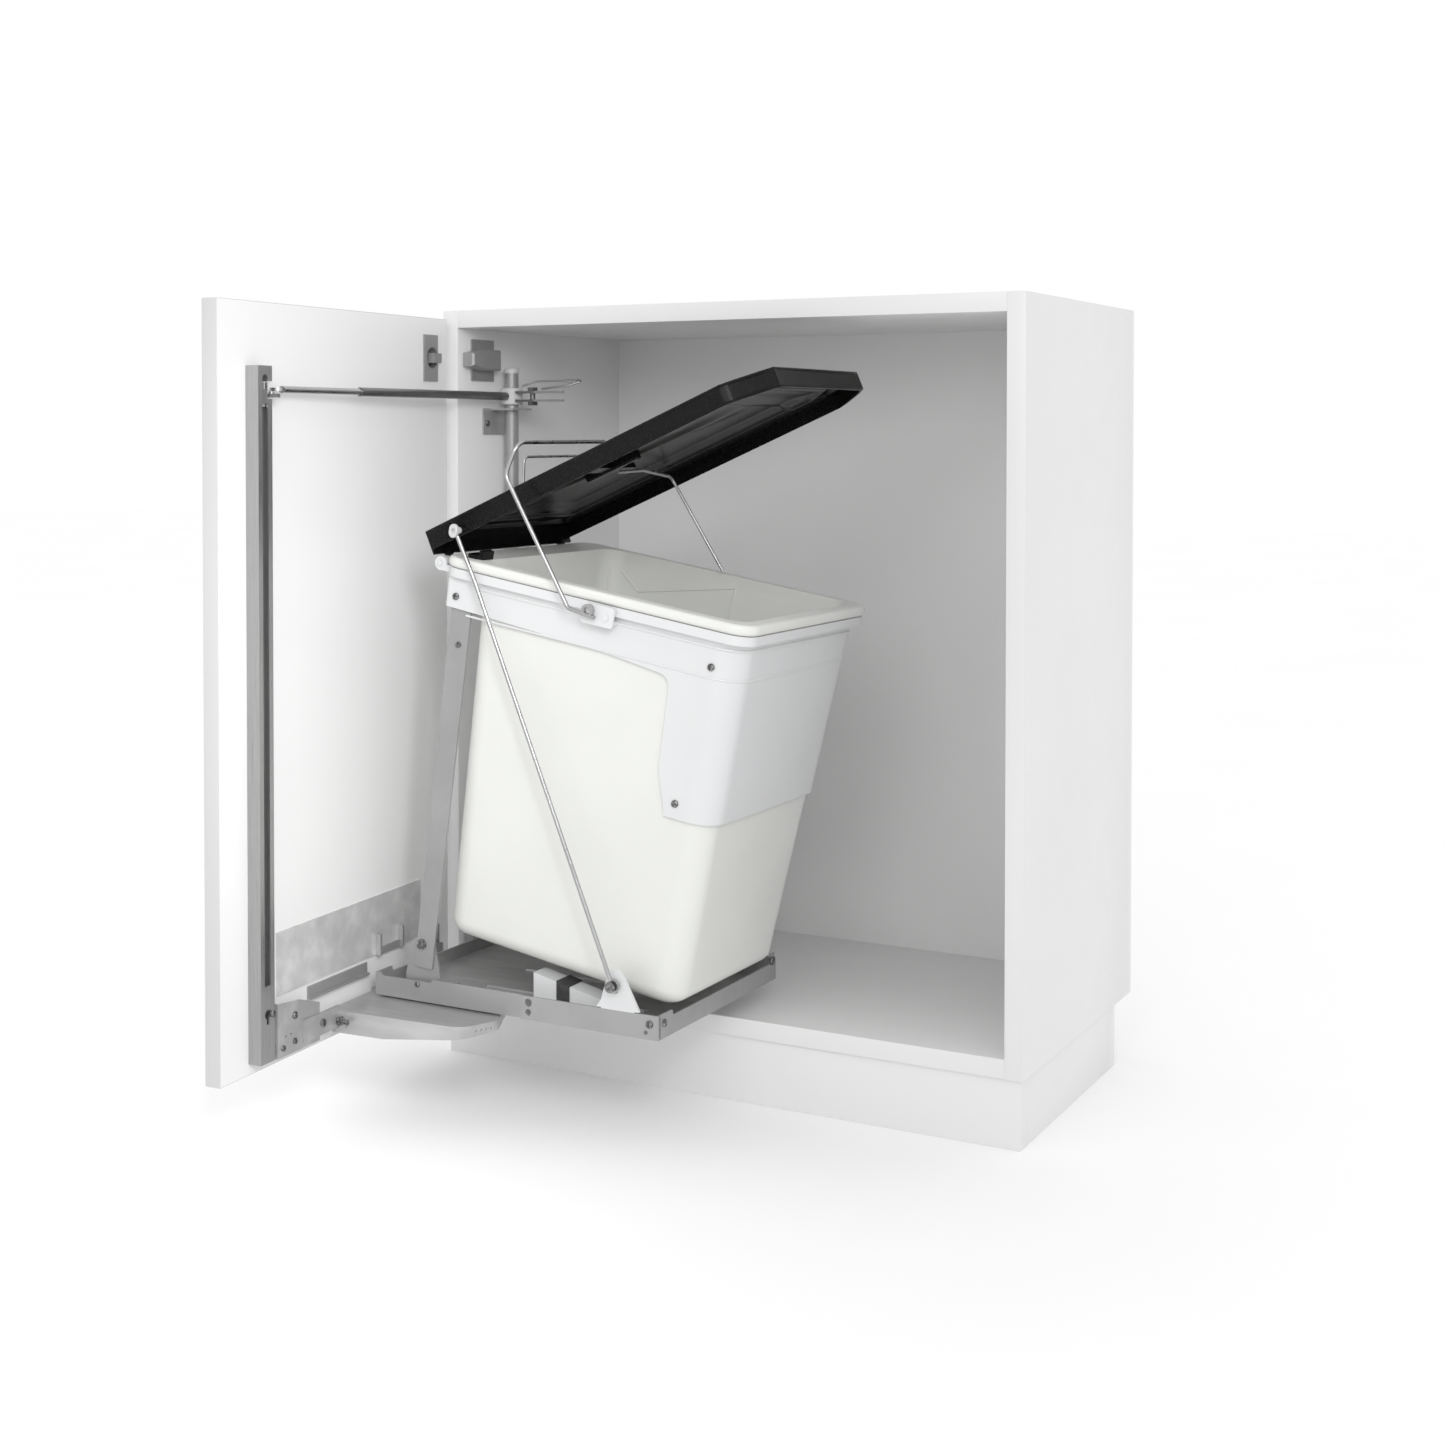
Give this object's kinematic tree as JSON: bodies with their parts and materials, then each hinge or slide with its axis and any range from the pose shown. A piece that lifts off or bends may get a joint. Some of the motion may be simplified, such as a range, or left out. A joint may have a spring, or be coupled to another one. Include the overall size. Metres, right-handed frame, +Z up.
{
  "type": "base cabinet with swing-out waste bin",
  "caption": "Base cabinet whose door carries a swing-out tray with a self-tilting waste bin, a self-opening lid and a telescopic stay.",
  "frame": {"origin": "middle of the plinth's underside, on the floor", "axes": "+X to the right seen from the front, +Y towards the cabinet's back, +Z up"},
  "size_m": [0.6451, 0.7435, 0.786],
  "materials": {
    "melamine": "satin melamine",
    "zinc_steel": "galvanised, streaky",
    "grey_steel": "grey lacquer, satin",
    "channel_aluminium": "brushed",
    "dark_steel": "dark, polished",
    "bright_wire": "polished",
    "screw_steel": "blackened",
    "grey_plastic": "satin",
    "white_plastic": "satin",
    "ivory_plastic": "satin",
    "black_plastic": "gloss",
    "black_rubber": "matt"
  },
  "bodies": {
    "cabinet": {"side_panel_left": "melamine", "side_panel_right": "melamine", "top_panel": "melamine", "bottom_panel": "melamine", "back_panel": "melamine", "plinth_front": "melamine", "plinth_back": "melamine", "plinth_left": "melamine", "plinth_right": "melamine", "plinth_rail": "melamine", "hinge_arms": "grey_steel", "pole": "grey_steel", "pole_cap": "grey_plastic", "pole_foot": "grey_steel", "pole_bracket": "zinc_steel", "bracket_screws": "screw_steel"},
    "door": {"door_panel": "melamine", "hinge_cups": "grey_steel", "door_channel": "channel_aluminium", "stay_shoe": "channel_aluminium", "kick_plate": "zinc_steel", "corner_bracket": "zinc_steel", "arm_bracket": "zinc_steel", "support_arm": "zinc_steel", "turn_pin": "grey_steel", "angle_bar": "grey_steel", "guide_ears": "zinc_steel", "door_screws": "screw_steel"},
    "stay_clamp": {"clamp_ring": "grey_plastic", "clamp_plates": "dark_steel", "clamp_bolt": "dark_steel", "spring_wire": "bright_wire", "stay_tube": "dark_steel"},
    "stay_slider": {"stay_rod": "bright_wire"},
    "tray": {"front_rail_left": "grey_steel", "front_rail_right": "grey_steel", "side_rail": "grey_steel", "back_rail": "grey_steel", "left_rail": "grey_steel", "tray_plate": "zinc_steel", "pivot_lugs": "grey_steel", "rod_bracket": "white_plastic", "rail_bolts": "screw_steel", "rest_block": "white_plastic", "rest_band": "black_rubber"},
    "bin": {"bucket": "ivory_plastic", "bin_holder": "white_plastic", "upright_bar_near": "grey_steel", "upright_bar_far": "grey_steel", "bin_screws": "screw_steel", "bail_brackets": "white_plastic", "hinge_bosses": "white_plastic", "rim_hook": "black_plastic"},
    "lid": {"lid": "black_plastic", "lid_clip": "grey_plastic", "lid_centre_clip": "black_plastic", "lid_wire_loop": "bright_wire"},
    "lid_rod": {"lid_rod": "bright_wire"},
    "lid_stay": {"lid_stay": "bright_wire"},
    "bail": {"bail": "bright_wire"}
  },
  "joints": [
    {"name": "door_hinge", "type": "hinge", "parent": "cabinet", "child": "door", "pos_m": [-0.319, -0.1645, 0.427], "axis": [0, 0, 1], "range_deg": [0, 86]},
    {"name": "tray_turn", "type": "hinge", "parent": "door", "child": "tray", "pos_m": [-0.2192, -0.2876, 0.108], "axis": [0, 0, 1], "range_deg": [-86, 0]},
    {"name": "bin_tilt", "type": "hinge", "parent": "tray", "child": "bin", "pos_m": [-0.225, -0.2105, 0.164], "axis": [0, 1, 0], "range_deg": [-9.6, 0]},
    {"name": "lid_hinge", "type": "hinge", "parent": "bin", "child": "lid", "pos_m": [-0.20397, -0.2055, 0.53296], "axis": [0, 1, 0], "range_deg": [0, 33]},
    {"name": "bail_swing", "type": "hinge", "parent": "bin", "child": "bail", "pos_m": [-0.02363, -0.349, 0.49708], "axis": [0, 1, 0], "range_deg": [-6, 8]},
    {"name": "lid_rod_pivot", "type": "hinge", "parent": "tray", "child": "lid_rod", "pos_m": [-0.005, -0.3371, 0.155], "axis": [0, 1, 0], "range_deg": [-6.8, 0]},
    {"name": "lid_stay_pivot", "type": "hinge", "parent": "lid", "child": "lid_stay", "pos_m": [-0.052, -0.2325, 0.62], "axis": [0, 1, 0], "range_deg": [-86, 0]},
    {"name": "stay_turn", "type": "hinge", "parent": "cabinet", "child": "stay_clamp", "pos_m": [-0.2865, -0.0725, 0.697], "axis": [0, 0, 1], "range_deg": [0, 74.62]},
    {"name": "stay_slide", "type": "slide", "parent": "stay_clamp", "child": "stay_slider", "axis": [0.024, -0.9997, 0], "range_m": [-0.11369, 0]}
  ],
  "couplings": [
    {"joint": "tray_turn", "follows": "door_hinge", "ratio": -1},
    {"joint": "bin_tilt", "follows": "door_hinge", "ratio": -0.11163},
    {"joint": "lid_hinge", "follows": "door_hinge", "ratio": 0.38372},
    {"joint": "lid_rod_pivot", "follows": "door_hinge", "ratio": -0.07906},
    {"joint": "lid_stay_pivot", "follows": "door_hinge", "ratio": -1},
    {"joint": "stay_turn", "follows": "door_hinge", "ratio": 0.86761},
    {"joint": "stay_slide", "follows": "door_hinge", "m_per_rad": -0.075678}
  ]
}
